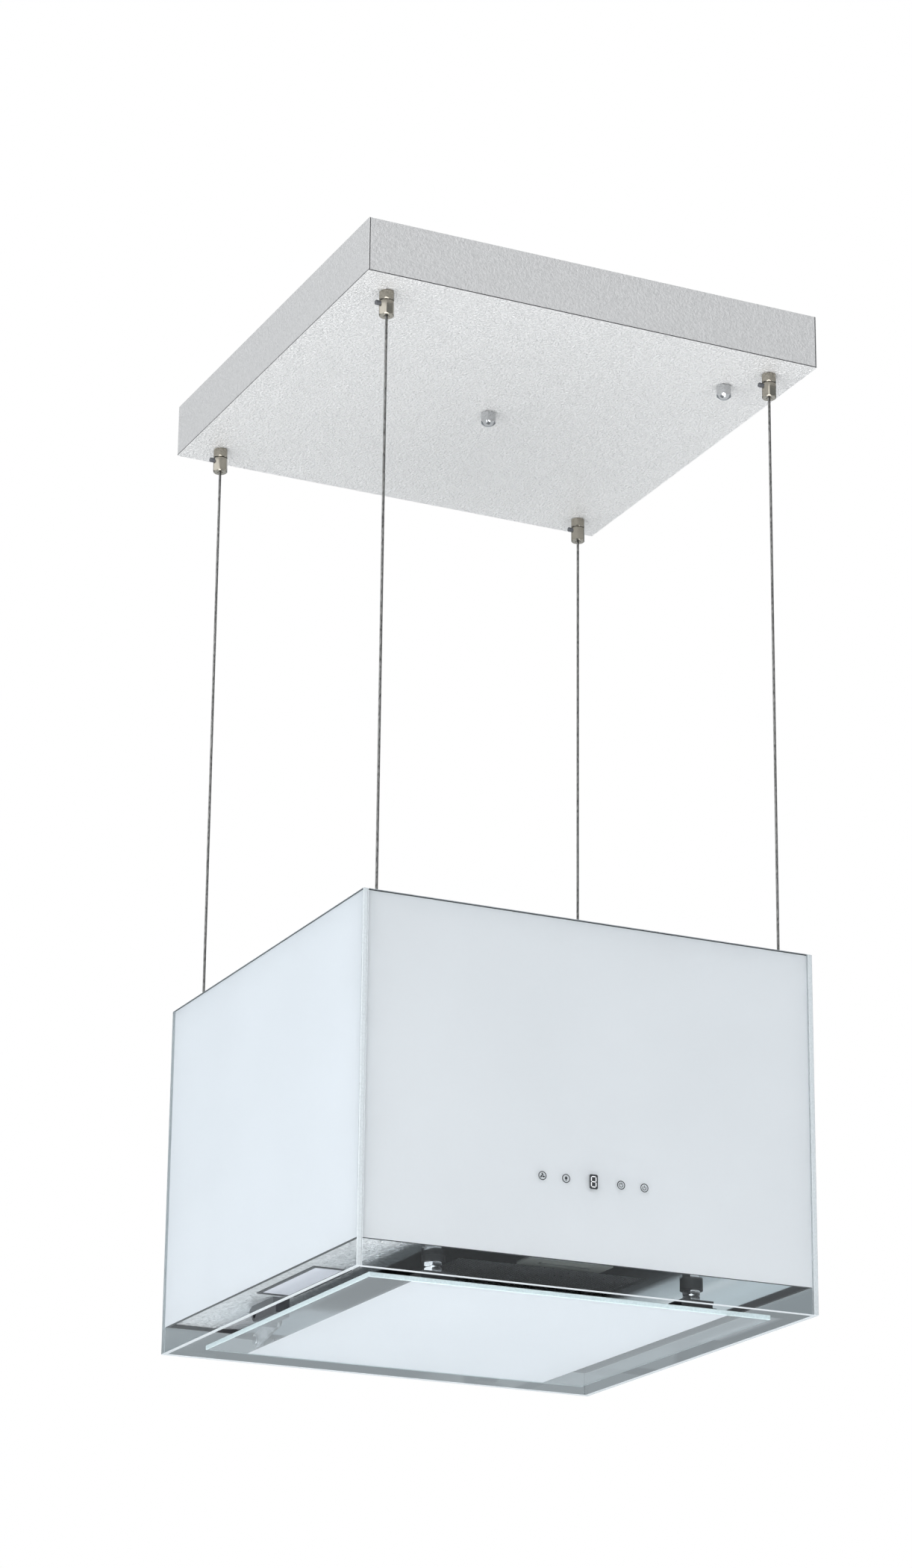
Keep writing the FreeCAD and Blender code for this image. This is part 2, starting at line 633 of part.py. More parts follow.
def grease_filter():
    """Framed mesh cassette in the underside, with a latch plate and sprung latch at its front."""
    window_length = "(filter_length - filter_rail - filter_front_rail)"
    window_y = "(filter_front_rail - filter_rail) / 2"
    front = "(-filter_length / 2)"
    frame = box("filter_width", "filter_length", "filter_thick")
    window = box("filter_width - 2 * filter_rail", window_length, "filter_thick", "0", window_y)
    latch_room = box("latch_pocket", "latch_pocket_depth", "latch_pocket_height", "0",
                     "filter_y - latch_y")
    subpart(cut(frame, window, latch_room), "filter_frame", "-filter_x", "-filter_y", FLOOR)

    mesh = box("filter_width - 2 * filter_rail - 2 * mesh_gap", f"{window_length} - 2 * mesh_gap",
               "mesh_thick", "-filter_x", f"-filter_y + {window_y}", f"{FLOOR} + mesh_lift")
    subpart(mesh, "filter_mesh")

    plate = cut(box("latch_width", "latch_depth", "latch_thick"),
                box("latch_slot", "latch_slot_depth", "latch_thick"))
    subpart(plate, "latch_plate", "-filter_x", "-latch_y", f"{FLOOR} - latch_thick")
    subpart(box("latch_tab", "latch_tab_depth", "latch_tab_height", "-filter_x",
                "-latch_y - latch_tab_y", f"{FLOOR} - latch_thick - lens_gap"), "filter_latch")


# ---------------------------------------------------------------- baffle panel and hinge

def swing_arm():
    """Flat arm with a rounded end and a hole at each pivot, drawn in its own side plane."""
    run = "(back_pivot_y - front_pivot_y)"
    rise = "(back_pivot_z - front_pivot_z)"
    body, sketch = body_with_sketch("YZ_Plane")
    start = FreeCAD.Vector(0, 0, 0)
    end = FreeCAD.Vector(SIZES["back_pivot_y"] - SIZES["front_pivot_y"],
                         SIZES["back_pivot_z"] - SIZES["front_pivot_z"], 0)
    along = (end - start).normalize()
    across = FreeCAD.Vector(-along.y, along.x, 0) * SIZES["arm_radius"]
    tip = along * SIZES["arm_radius"]
    sketch.addGeometry([
        Part.LineSegment(start - across, end - across),
        Part.Arc(end - across, end + tip, end + across),
        Part.LineSegment(end + across, start + across),
        Part.Arc(start + across, start - tip, start - across),
    ], False)
    for first, last in ((0, 1), (1, 2), (2, 3), (3, 0)):
        ends = tangent_ends(sketch, first, last)
        sketch.addConstraint(Sketcher.Constraint("Tangent", first, ends[0], last, ends[1]))
    name_constraint(sketch, Sketcher.Constraint("Radius", 1, SIZES["arm_radius"]), "radius",
                    "arm_radius")
    sketch.addConstraint(Sketcher.Constraint("Coincident", 3, 3, -1, 1))
    name_constraint(sketch, Sketcher.Constraint("DistanceX", -1, 1, 1, 3, end.x), "run", run)
    name_constraint(sketch, Sketcher.Constraint("DistanceY", 1, 3, -1, 1, -end.y), "drop",
                    f"-{rise}")
    arm = pad(body, sketch, "arm_thick")
    arm.Midplane = True
    for y, z in (("0", "0"), (run, rise)):
        hole = sketch_on(body, "YZ_Plane")
        centred_circle(hole, "hinge_hole")
        shift_sketch(hole, y, z)
        pocket_through(body, hole)
    return body


def tangent_ends(sketch, first, last):
    """Which ends of two neighbouring curves meet."""
    for end in (1, 2):
        for start in (1, 2):
            gap = sketch.getPoint(first, end) - sketch.getPoint(last, start)
            if gap.Length < 0.001:
                return end, start
    raise ValueError("the two curves don't meet")


def from_side(sign, near, length):
    """Start of a span of a length that begins near from the middle plane, on one side."""
    return near if sign == "1" else f"-({near}) - ({length})"


def side_rod(sign, radius, near, length, y, z):
    """A rod along X on one side, starting near from the middle plane."""
    return rod(radius, length, from_side(sign, near, length), y, z, ALONG_X)


def hinge():
    """Brackets, pins and arms that carry the baffle panel's back edge."""
    boss = "(bracket_x - bracket_width / 2)"
    arm_outer = "(arm_x + arm_thick / 2)"
    arm_inner = "(arm_x - arm_thick / 2)"
    pivot_y = "front_pivot_y"
    bar_height = "(clear_strip + lip_height - front_pivot_z + boss_radius)"
    pivot_z = "boss_radius"

    def bracket(sign):
        x = f"{sign} * bracket_x"
        bar = box("bracket_width", "bracket_length", bar_height, x,
                  "front_pivot_y - bracket_length / 2")
        nose = side_rod(sign, "boss_radius", boss, "bracket_width", pivot_y, pivot_z)
        collar = side_rod(sign, "boss_radius", f"{arm_outer} + arm_gap",
                          f"{boss} - {arm_outer} - arm_gap", pivot_y, pivot_z)
        hole = side_rod(sign, "hinge_hole", f"{arm_outer}", "2 * bracket_width", pivot_y, pivot_z)
        return cut(fuse(bar, nose, collar), hole)
    subpart(group(at_sides(bracket)), "hinge_brackets", z=f"{FLOOR} - {bar_height}")

    def bracket_pin(sign):
        head = side_rod(sign, "hinge_head", f"{arm_inner} - arm_gap - head_thick", "head_thick",
                        pivot_y, pivot_z)
        shank = side_rod(sign, "hinge_pin", f"{arm_inner} - arm_gap",
                         f"{boss} - {arm_inner} + arm_gap + bracket_width / 2", pivot_y, pivot_z)
        return fuse(head, shank)
    subpart(group(at_sides(bracket_pin)), "bracket_pins", z=f"{FLOOR} - {bar_height}")

    for side, sign in SIDES.items():
        subpart(swing_arm(), f"swing_arm_{side}", f"{sign} * arm_x", "front_pivot_y",
                f"{GLASS_UNDER} + front_pivot_z")


def baffle():
    """Glass baffle panel with its pivot blocks and pivot pins."""
    body, sketch = body_with_sketch()
    centred_rectangle(sketch, "baffle_width", "baffle_length")
    plate = pad(body, sketch, "baffle_thick")
    doc.recompute()
    edges = body.newObject("PartDesign::Chamfer", "Chamfer")
    edges.Base = (plate, [f"Edge{i + 1}" for i in range(len(plate.Shape.Edges))])
    bind(edges, Size="glass_chamfer")
    subpart(body, "baffle_glass", "0", "-baffle_y", GLASS_UNDER)

    arm_inner = "(arm_x - arm_thick / 2)"
    arm_outer = "(arm_x + arm_thick / 2)"
    block_x = f"({arm_inner} - arm_gap - block_width)"
    pivot_z = "(back_pivot_z - baffle_thick)"

    def block(sign):
        middle = f"{sign} * ({block_x} + block_width / 2)"
        foot = box("block_width", "block_length", pivot_z, middle, "back_pivot_y")
        top = side_rod(sign, "arm_radius", block_x, "block_width", "back_pivot_y", pivot_z)
        trim = box("block_width", "block_length", f"{pivot_z} + arm_radius", middle,
                   "back_pivot_y")
        hole = side_rod(sign, "hinge_hole", block_x, "block_width", "back_pivot_y", pivot_z)
        return cut(common(fuse(foot, top), trim), hole)
    subpart(group(at_sides(block)), "pivot_blocks", z=f"{GLASS_UNDER} + baffle_thick")

    def pin(sign):
        shank = side_rod(sign, "hinge_pin", f"{block_x} + head_thick",
                         f"{arm_outer} + arm_gap - {block_x} - head_thick", "back_pivot_y",
                         pivot_z)
        head = side_rod(sign, "hinge_head", f"{arm_outer} + arm_gap", "head_thick",
                        "back_pivot_y", pivot_z)
        return fuse(shank, head)
    subpart(group(at_sides(pin)), "pivot_pins", z=f"{GLASS_UNDER} + baffle_thick")


def catches():
    """Two magnetic catches: a sleeve and a post below the floor, and a pad on the baffle."""
    sleeves = at_sides(lambda sign: cut(rod("sleeve_radius", "sleeve_height", f"{sign} * catch_x"),
                                        rod("sleeve_bore", "sleeve_height", f"{sign} * catch_x")))
    subpart(group(sleeves), "catch_sleeves", "0", "-catch_y", f"{FLOOR} - sleeve_height")

    ring = "(post_height - post_seam) / 2"

    def post(sign):
        x = f"{sign} * catch_x"
        rings = [turned_hexagon(ring, x, z=z, flats="post_flats", turned="post_turned",
                                chamfer="post_chamfer") for z in ("0", f"{ring} + post_seam")]
        stud = rod("post_stud", f"post_height + sleeve_height - {ring} / 2", x, z=f"{ring} / 2")
        return fuse(*rings, stud)
    subpart(group(at_sides(post)), "catch_posts", "0", "-catch_y",
            f"{FLOOR} - sleeve_height - post_height")

    height = "clear_strip + lip_height - sleeve_height - post_height - catch_gap - baffle_thick"
    pads = at_sides(lambda sign: box("catch_pad_width", "catch_pad_length", height,
                                     f"{sign} * catch_x"))
    subpart(group(pads), "catch_pads", "0", "-catch_y", f"{GLASS_UNDER} + baffle_thick")


# ---------------------------------------------------------------- build, check and export

def check():
    """Stop on any failed object or any piece that isn't sound."""
    for item in doc.Objects:
        if "Invalid" in item.State or "Error" in item.State:
            raise RuntimeError(f"{item.Name} ({item.Label}) failed: {item.State}")
    for item in subparts:
        if item.Shape.isNull() or not item.Shape.isValid() or item.Shape.Volume <= 0:
            raise RuntimeError(f"{item.Label} isn't a sound solid")


def export():
    os.makedirs("parts", exist_ok=True)
    for item in subparts:
        item.Shape.exportStep(f"parts/{item.Label}.step")
        bounds = item.Shape.BoundBox
        print(f"{item.Label:26s} solids {len(item.Shape.Solids)}  volume {item.Shape.Volume:12.1f}  "
              f"z {bounds.ZMin:8.2f} to {bounds.ZMax:8.2f}")
    print(len(subparts), "pieces")


fill_sheet()
ceiling_plate()
hanger_posts()
canopy_cover()
cover_fasteners()
grips()
cables()
cable_anchors()
glass_panels()
glass_pads()
casing()
outlet_grille()
blower()
electrics()
lamps()
grease_filter()
hinge()
baffle()
catches()
doc.recompute()
check()
export()
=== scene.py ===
import math
from bisect import bisect_right

import bmesh
import bpy
from mathutils import Matrix, Vector


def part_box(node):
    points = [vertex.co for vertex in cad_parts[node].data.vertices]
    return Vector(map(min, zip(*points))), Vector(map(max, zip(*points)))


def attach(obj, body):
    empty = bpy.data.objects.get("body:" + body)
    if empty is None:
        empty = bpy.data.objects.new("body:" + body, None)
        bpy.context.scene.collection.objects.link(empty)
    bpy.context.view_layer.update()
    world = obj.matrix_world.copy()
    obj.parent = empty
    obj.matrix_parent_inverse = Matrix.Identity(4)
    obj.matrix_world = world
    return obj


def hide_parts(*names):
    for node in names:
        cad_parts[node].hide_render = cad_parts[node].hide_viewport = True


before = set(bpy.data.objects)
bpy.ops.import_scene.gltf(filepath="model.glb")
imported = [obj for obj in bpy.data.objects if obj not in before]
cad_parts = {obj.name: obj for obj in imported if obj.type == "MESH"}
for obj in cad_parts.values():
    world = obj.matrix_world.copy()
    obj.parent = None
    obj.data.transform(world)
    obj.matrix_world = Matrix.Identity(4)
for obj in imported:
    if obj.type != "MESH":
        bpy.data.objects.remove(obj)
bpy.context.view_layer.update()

# Island range hood. Metres, +Z up, front towards -Y, ceiling face at z = 0.

# levels and half widths that several pieces share
GLASS_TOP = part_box("glass_front")[1].z
GLASS_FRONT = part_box("glass_front")[0].y
GLASS_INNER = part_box("glass_right")[0].x
PAINT_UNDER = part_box("edge_lip")[0].z
BAFFLE_LOW, BAFFLE_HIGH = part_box("baffle_glass")
PAINT_NEAR, PAINT_FAR = GLASS_INNER + 0.0001, GLASS_INNER + 0.0003
WHITE_HALF = 0.1375    # half width of the baffle's white middle
TOP_STRIP_HEIGHT = 0.0009   # black strip above the paint of the panes

# signs of a square's corners in order round it, and of the four ropes' places
SQUARE = [(-1, -1), (1, -1), (1, 1), (-1, 1)]
CORNERS = {"front_left": (-1, -1), "front_right": (1, -1), "back_left": (-1, 1), "back_right": (1, 1)}


# ---------------------------------------------------------------- camera and light

def make_camera():
    """The camera looks up at the front and left sides from below."""
    place, lens = (-1.401, -2.917, -1.505), 92.42
    yaw, pitch, roll = math.radians(25.211), math.radians(18.973), math.radians(0.615)
    forward = Vector((math.sin(yaw) * math.cos(pitch), math.cos(yaw) * math.cos(pitch), math.sin(pitch)))
    level = Vector((math.cos(yaw), -math.sin(yaw), 0))
    rise = level.cross(forward)
    right = level * math.cos(roll) + rise * math.sin(roll)
    up = rise * math.cos(roll) - level * math.sin(roll)
    data = bpy.data.cameras.new("camera")
    data.sensor_width = 36
    data.lens = lens
    camera = bpy.data.objects.new("camera", data)
    turn = Matrix((right, up, -forward)).transposed()
    camera.matrix_world = Matrix.Translation(place) @ turn.to_4x4()
    bpy.context.scene.collection.objects.link(camera)
    bpy.context.scene.camera = camera


# The studio dome: its grey, and its brighter fields. Each field has a direction, the cosines
# where its fade starts and ends, and a colour.
DOME_GREY = (0.31, 0.335, 0.35)
DOME_FIELDS = [
    ((0, 0, 1), 0.3, 0.9, (1.0, 1.0, 1.0)),
    ((-0.25, -1, -0.6), 0.45, 0.95, (1.36, 1.36, 1.38)),
    ((-1, -0.55, -0.1), 0.10, 0.80, (2.00, 2.02, 2.05)),
    ((0.4, 0.9, -0.35), 0.86, 0.98, (0.53, 0.58, 0.61)),
    ((0.1, 0.2, -1), 0.45, 0.90, (1.75, 1.75, 1.77)),
]
# sockets of the mix node that carry colours
MIX_FIRST, MIX_SECOND, MIX_RESULT = 6, 7, 2


def make_world():
    """A soft studio dome, bright at the left, the front, above and below. The camera sees plain white."""
    world = bpy.data.worlds.new("studio")
    bpy.context.scene.world = world
    world.use_nodes = True
    tree = world.node_tree
    tree.nodes.clear()

    def add(kind, **settings):
        item = tree.nodes.new(kind)
        for name, value in settings.items():
            setattr(item, name, value)
        return item

    where = add("ShaderNodeTexCoord").outputs["Generated"]
    colour = None
    for direction, low, high, tone in DOME_FIELDS:
        dot = add("ShaderNodeVectorMath", operation="DOT_PRODUCT")
        tree.links.new(where, dot.inputs[0])
        dot.inputs[1].default_value = Vector(direction).normalized()
        share = add("ShaderNodeMapRange", interpolation_type="SMOOTHSTEP")
        tree.links.new(dot.outputs["Value"], share.inputs["Value"])
        share.inputs["From Min"].default_value = low
        share.inputs["From Max"].default_value = high
        mix = add("ShaderNodeMix", data_type="RGBA")
        tree.links.new(share.outputs["Result"], mix.inputs["Factor"])
        if colour is None:
            mix.inputs[MIX_FIRST].default_value = (*DOME_GREY, 1)
        else:
            tree.links.new(colour, mix.inputs[MIX_FIRST])
        mix.inputs[MIX_SECOND].default_value = (*tone, 1)
        colour = mix.outputs[MIX_RESULT]
    dome = add("ShaderNodeBackground")
    tree.links.new(colour, dome.inputs["Color"])
    white = add("ShaderNodeBackground")
    white.inputs["Color"].default_value = (1, 1, 1, 1)
    choose = add("ShaderNodeMixShader")
    tree.links.new(add("ShaderNodeLightPath").outputs["Is Camera Ray"], choose.inputs[0])
    tree.links.new(dome.outputs[0], choose.inputs[1])
    tree.links.new(white.outputs[0], choose.inputs[2])
    tree.links.new(choose.outputs[0], add("ShaderNodeOutputWorld").inputs["Surface"])


def area_light(name, place, target, size, power, tone):
    """A soft rectangular light at a place, turned towards a target."""
    data = bpy.data.lights.new(name, "AREA")
    data.shape = "RECTANGLE"
    data.size, data.size_y = size
    data.energy = power
    data.color = tone
    light = bpy.data.objects.new(name, data)
    light.location = place
    light.rotation_mode = "QUATERNION"
    light.rotation_quaternion = (Vector(target) - Vector(place)).to_track_quat("-Z", "Y")
    light.visible_camera = False
    bpy.context.scene.collection.objects.link(light)


# ---------------------------------------------------------------- material helpers

def material(name, colour, metallic=0.0, roughness=0.5, **sockets):
    """A Principled material. Other sockets are given by name with _ for spaces."""
    made = bpy.data.materials.new(name)
    made.use_nodes = True
    shader = made.node_tree.nodes["Principled BSDF"]
    shader.inputs["Base Color"].default_value = (*colour, 1)
    shader.inputs["Metallic"].default_value = metallic
    shader.inputs["Roughness"].default_value = roughness
    for socket, value in sockets.items():
        title = socket.replace("_", " ")
        shader.inputs[title].default_value = value
    return made


def add_node(mat, kind, **settings):
    """A new node of a material, with its settings."""
    item = mat.node_tree.nodes.new(kind)
    for name, value in settings.items():
        setattr(item, name, value)
    return item


def wire(mat, source, target):
    mat.node_tree.links.new(source, target)


def scaled_place(mat, scale):
    """Object coordinates times a scale for each axis."""
    where = add_node(mat, "ShaderNodeTexCoord").outputs["Object"]
    mapping = add_node(mat, "ShaderNodeMapping")
    mapping.inputs["Scale"].default_value = scale
    wire(mat, where, mapping.inputs["Vector"])
    return mapping.outputs["Vector"]


def noise(mat, scale, detail=2.0, roughness=0.5, distortion=0.0):
    """Noise between about 0.2 and 0.8. The scale is features to the metre on each axis."""
    item = add_node(mat, "ShaderNodeTexNoise")
    item.inputs["Scale"].default_value = 1.0
    item.inputs["Detail"].default_value = detail
    item.inputs["Roughness"].default_value = roughness
    item.inputs["Distortion"].default_value = distortion
    wire(mat, scaled_place(mat, scale), item.inputs["Vector"])
    return item.outputs["Fac"]


def cells(mat, scale, output="Distance"):
    """Cells, as the distance from each cell's middle or as a colour for each cell."""
    item = add_node(mat, "ShaderNodeTexVoronoi", feature="F1")
    item.inputs["Scale"].default_value = 1.0
    wire(mat, scaled_place(mat, scale), item.inputs["Vector"])
    return item.outputs[output]


def ranged(mat, source, low, high, start=0.3, end=0.7):
    """The source from start to end, as low to high."""
    item = add_node(mat, "ShaderNodeMapRange")
    wire(mat, source, item.inputs["Value"])
    item.inputs["From Min"].default_value = start
    item.inputs["From Max"].default_value = end
    item.inputs["To Min"].default_value = low
    item.inputs["To Max"].default_value = high
    return item.outputs["Result"]


def part_of(mat, output, axis):
    """One axis of the object's coordinates or normal."""
    split = add_node(mat, "ShaderNodeSeparateXYZ")
    wire(mat, add_node(mat, "ShaderNodeTexCoord").outputs[output], split.inputs["Vector"])
    return split.outputs[axis]


def between(mat, source, first, second):
    """A colour from first to second as the source goes from 0 to 1. Each is a tone or a socket."""
    item = add_node(mat, "ShaderNodeMix", data_type="RGBA")
    wire(mat, source, item.inputs["Factor"])
    for socket, colour in ((MIX_FIRST, first), (MIX_SECOND, second)):
        if isinstance(colour, tuple):
            item.inputs[socket].default_value = (*colour, 1)
        else:
            wire(mat, colour, item.inputs[socket])
    return item.outputs[MIX_RESULT]


def drive(mat, socket, source):
    """Wire a source to a socket of the Principled shader."""
    wire(mat, source, mat.node_tree.nodes["Principled BSDF"].inputs[socket])


def bump(mat, source, height, share=None):
    """Relief with a height in metres. A share from 0 to 1 can drive its strength."""
    layer = add_node(mat, "ShaderNodeBump")
    layer.inputs["Strength"].default_value = 1.0
    layer.inputs["Distance"].default_value = height
    wire(mat, source, layer.inputs["Height"])
    if share is not None:
        wire(mat, share, layer.inputs["Strength"])
    drive(mat, "Normal", layer.outputs["Normal"])


def shade(mat, source, dark, light, start=0.3, end=0.7):
    """Base colour from dark to light with the source."""
    drive(mat, "Base Color", between(mat, ranged(mat, source, 0, 1, start, end), dark, light))


# ---------------------------------------------------------------- finishes

def hammered_steel():
    """Silver sheet: brushed sides, and orange peel a few millimetres across underneath. The sides' colour
    is darkened as painted shade and the underside's lightened as painted light.
    """
    mat = material("hammered_steel", (0.72, 0.72, 0.72), 0.4, 0.46)
    peel = noise(mat, (460, 460, 460), 3.0, 0.6, 0.4)
    fine = noise(mat, (1300, 1300, 200), 2.0)
    step = ranged(mat, peel, 0, 1)
    # a darker copy for the sides and a lighter one underneath: painted shade and painted light
    shaded_side_tone = between(mat, step, (0.46, 0.46, 0.46), (0.54, 0.54, 0.54))
    lit_under_tone = between(mat, step, (0.90, 0.893, 0.885), (1.0, 0.993, 0.985))
    under = ranged(mat, part_of(mat, "Normal", "Z"), 1, 0, -0.9, -0.4)
    drive(mat, "Base Color", between(mat, under, shaded_side_tone, lit_under_tone))
    drive(mat, "Roughness", ranged(mat, fine, 0.40, 0.52))
    bump(mat, peel, 0.0066, ranged(mat, under, 0.25, 1.0, 0, 1))
    return mat


def polished_steel():
    """Bright rolled steel sheet, pebbled like foil at its left edge and cleaner towards its right. Its
    colour carries painted light along the pebbled left edge, and painted shade across the rest, dark at
    the left and light at the right.
    """
    mat = material("polished_steel", (0.64, 0.66, 0.68), 1.0, 0.13)
    across = part_of(mat, "Object", "X")
    pebble = noise(mat, (260, 420, 400), 3.0, 0.65, 0.6)
    pebble_step = ranged(mat, pebble, 0, 1, 0.35, 0.6)
    # the pebble's speckle, lifted bright as painted light
    foil_painted_light_tone = between(mat, pebble_step, (0.68, 0.69, 0.70), (1.0, 1.0, 1.0))
    # painted shade, dark at the left and light at the right
    painted_shade_step = ranged(mat, across, 0, 1, -0.12, 0.13)
    painted_shade_tone = between(mat, painted_shade_step, (0.36, 0.38, 0.40), (0.98, 1.0, 1.0))
    left = ranged(mat, across, 1.0, 0.0, -0.165, -0.125)
    drive(mat, "Base Color", between(mat, left, painted_shade_tone, foil_painted_light_tone))
    drive(mat, "Roughness", ranged(mat, left, 0.10, 0.34, 0, 1))
    bump(mat, pebble, 0.0040, ranged(mat, left, 0.01, 1.0, 0, 1))
    return mat


def brushed(name, colour, roughness, spread, scale, depth, metallic=1.0):
    """Metal with fine lines along its least scaled axis."""
    mat = material(name, colour, metallic, roughness)
    lines = noise(mat, scale, 2.0)
    cloud = noise(mat, (40, 40, 40), 2.0)
    dark = tuple(c * 0.88 for c in colour)
    light = tuple(min(1.0, c * 1.08) for c in colour)
    shade(mat, cloud, dark, light)
    drive(mat, "Roughness", ranged(mat, lines, roughness - spread, roughness + spread))
    bump(mat, lines, depth)
    return mat


def galvanised_steel():
    """Zinc spangles a few millimetres across."""
    mat = material("galvanised_steel", (0.60, 0.62, 0.64), 1.0, 0.42)
    spangle = cells(mat, (160, 160, 160), output="Color")
    grey = add_node(mat, "ShaderNodeRGBToBW")
    wire(mat, spangle, grey.inputs["Color"])
    shade(mat, grey.outputs["Val"], (0.50, 0.52, 0.54), (0.70, 0.72, 0.74), 0.2, 0.8)
    drive(mat, "Roughness", ranged(mat, grey.outputs["Val"], 0.32, 0.52, 0.2, 0.8))
    bump(mat, noise(mat, (500, 500, 500)), 0.00004)
    return mat


def grained(name, colour, roughness, scale, depth, contrast=0.25, specular=0.5):
    """Rubber, plastic or foam with an even fine grain."""
    mat = material(name, colour, 0.0, roughness, Specular_IOR_Level=specular)
    grain = noise(mat, (scale, scale, scale), 3.0, 0.6)
    dark = tuple(c * (1 - contrast) for c in colour)
    light = tuple(min(1.0, c * (1 + contrast)) for c in colour)
    shade(mat, grain, dark, light)
    drive(mat, "Roughness", ranged(mat, grain, roughness - 0.08, roughness + 0.08))
    bump(mat, grain, depth)
    return mat


def wire_rope():
    """Grey steel wire with streaks of wear along it."""
    mat = material("wire_rope", (0.28, 0.28, 0.28), 1.0, 0.30)
    wear = noise(mat, (900, 900, 300), 2.0)
    shade(mat, wear, (0.09, 0.09, 0.09), (0.34, 0.34, 0.33))
    drive(mat, "Roughness", ranged(mat, wear, 0.24, 0.42))
    bump(mat, noise(mat, (2600, 2600, 500)), 0.00004)
    return mat


def carbon():
    """Black carbon grains."""
    mat = material("carbon", (0.02, 0.02, 0.02), 0.0, 0.7)
    grains = cells(mat, (420, 420, 420))
    shade(mat, grains, (0.03, 0.03, 0.032), (0.006, 0.006, 0.006), 0.1, 0.6)
    bump(mat, grains, 0.0006)
    return mat


def circuit():
    """Green solder mask with lighter tracks under it."""
    mat = material("circuit", (0.02, 0.12, 0.05), 0.0, 0.35)
    tracks = add_node(mat, "ShaderNodeTexBrick")
    tracks.inputs["Scale"].default_value = 1.0
    wire(mat, scaled_place(mat, (260, 260, 260)), tracks.inputs["Vector"])
    shade(mat, tracks.outputs["Fac"], (0.01, 0.10, 0.04), (0.04, 0.24, 0.10), 0.0, 1.0)
    bump(mat, tracks.outputs["Fac"], 0.00004)
    return mat


def lens():
    """Frosted lilac-white diffuser with a fine prism grain."""
    mat = material("lens", (0.80, 0.80, 0.86), 0.0, 0.38)
    grain = cells(mat, (700, 700, 700))
    shade(mat, grain, (0.84, 0.84, 0.90), (0.74, 0.74, 0.80), 0.1, 0.6)
    drive(mat, "Roughness", ranged(mat, grain, 0.32, 0.46, 0.1, 0.6))
    bump(mat, grain, 0.00012)
    return mat


def clear_glass(name, axis, edge):
    """Clear glass, with ground edges in their own tone where a face isn't square to the axis."""
    mat = material(name, (0.965, 0.985, 0.995), 0.0, 0.0, IOR=1.5, Transmission_Weight=1.0)
    facing = add_node(mat, "ShaderNodeVectorMath", operation="DOT_PRODUCT")
    wire(mat, add_node(mat, "ShaderNodeTexCoord").outputs["Normal"], facing.inputs[0])
    facing.inputs[1].default_value = axis
    size = add_node(mat, "ShaderNodeMath", operation="ABSOLUTE")
    wire(mat, facing.outputs["Value"], size.inputs[0])
    face = ranged(mat, size.outputs[0], 0, 1, 0.90, 0.93)
    grain = noise(mat, (600, 600, 600), 2.0)
    edge_tone = between(mat, ranged(mat, grain, 0, 1), tuple(c * 0.85 for c in edge), edge)
    drive(mat, "Base Color", between(mat, face, edge_tone, (0.95, 0.985, 1.0)))
    drive(mat, "Transmission Weight", ranged(mat, face, 0.15, 1.0, 0, 1))
    drive(mat, "Roughness", ranged(mat, face, 0.25, 0.0, 0, 1))
    return mat


def paint(name, colour):
    """Fired paint on the back of glass, with a faint cloudiness."""
    mat = material(name, colour, 0.0, 0.55)
    cloud = noise(mat, (9, 9, 9), 2.0)
    dark = tuple(c * 0.985 for c in colour)
    light = tuple(min(1.0, c * 1.01) for c in colour)
    shade(mat, cloud, dark, light)
    drive(mat, "Roughness", ranged(mat, noise(mat, (800, 800, 800)), 0.50, 0.60))
    return mat


# the finish of each material slot
FINISHES = {
    "hammered_steel": hammered_steel(),
    "polished_steel": polished_steel(),
    "galvanised_steel": galvanised_steel(),
    "nickel": brushed("nickel", (0.33, 0.31, 0.265), 0.15, 0.05, (1400, 1400, 90), 0.00002),
    "chrome": brushed("chrome", (0.50, 0.51, 0.52), 0.10, 0.03, (300, 300, 300), 0.00001),
    "pin_steel": brushed("pin_steel", (0.11, 0.115, 0.125), 0.42, 0.08, (700, 700, 700), 0.00003, 0.7),
    "aluminium": brushed("aluminium", (0.72, 0.73, 0.75), 0.30, 0.08, (1600, 60, 600), 0.00003),
    "latch_metal": brushed("latch_metal", (0.26, 0.275, 0.26), 0.42, 0.06, (80, 1200, 600), 0.00003, 0.8),
    "mesh": brushed("mesh", (0.50, 0.51, 0.53), 0.32, 0.06, (500, 500, 500), 0.00002, 0.8),
    "black_rubber": grained("black_rubber", (0.018, 0.019, 0.021), 0.55, 900, 0.00005),
    "dark_plastic": grained("dark_plastic", (0.045, 0.047, 0.05), 0.45, 1200, 0.00004),
    "foam_tape": grained("foam_tape", (0.62, 0.62, 0.60), 0.85, 700, 0.0003),
    "wire_rope": wire_rope(),
    "carbon": carbon(),
    "circuit": circuit(),
    "lens": lens(),
}
# finishes of nodes and pieces that differ from their slot
SIDE_GLASS = clear_glass("white_glass_side", (1, 0, 0), (0.54, 0.58, 0.60))
FRONT_GLASS = clear_glass("white_glass_front", (0, 1, 0), (0.54, 0.58, 0.60))
BAFFLE_GLASS = clear_glass("baffle_white_glass", (0, 0, 1), (0.60, 0.71, 0.73))
WHITE_PAINT = paint("white_paint", (0.90, 0.925, 0.955))
# the front pane's paint is a darker copy of the white paint: painted shade
SHADED_FRONT_PAINT = paint("front_paint_shaded", (0.872, 0.882, 0.897))
# a dark coat for the baffle paint's upper face: painted shade
PAINT_BACK_SHADE = grained("paint_back", (0.022, 0.024, 0.026), 0.6, 400, 0.00005, specular=0.1)
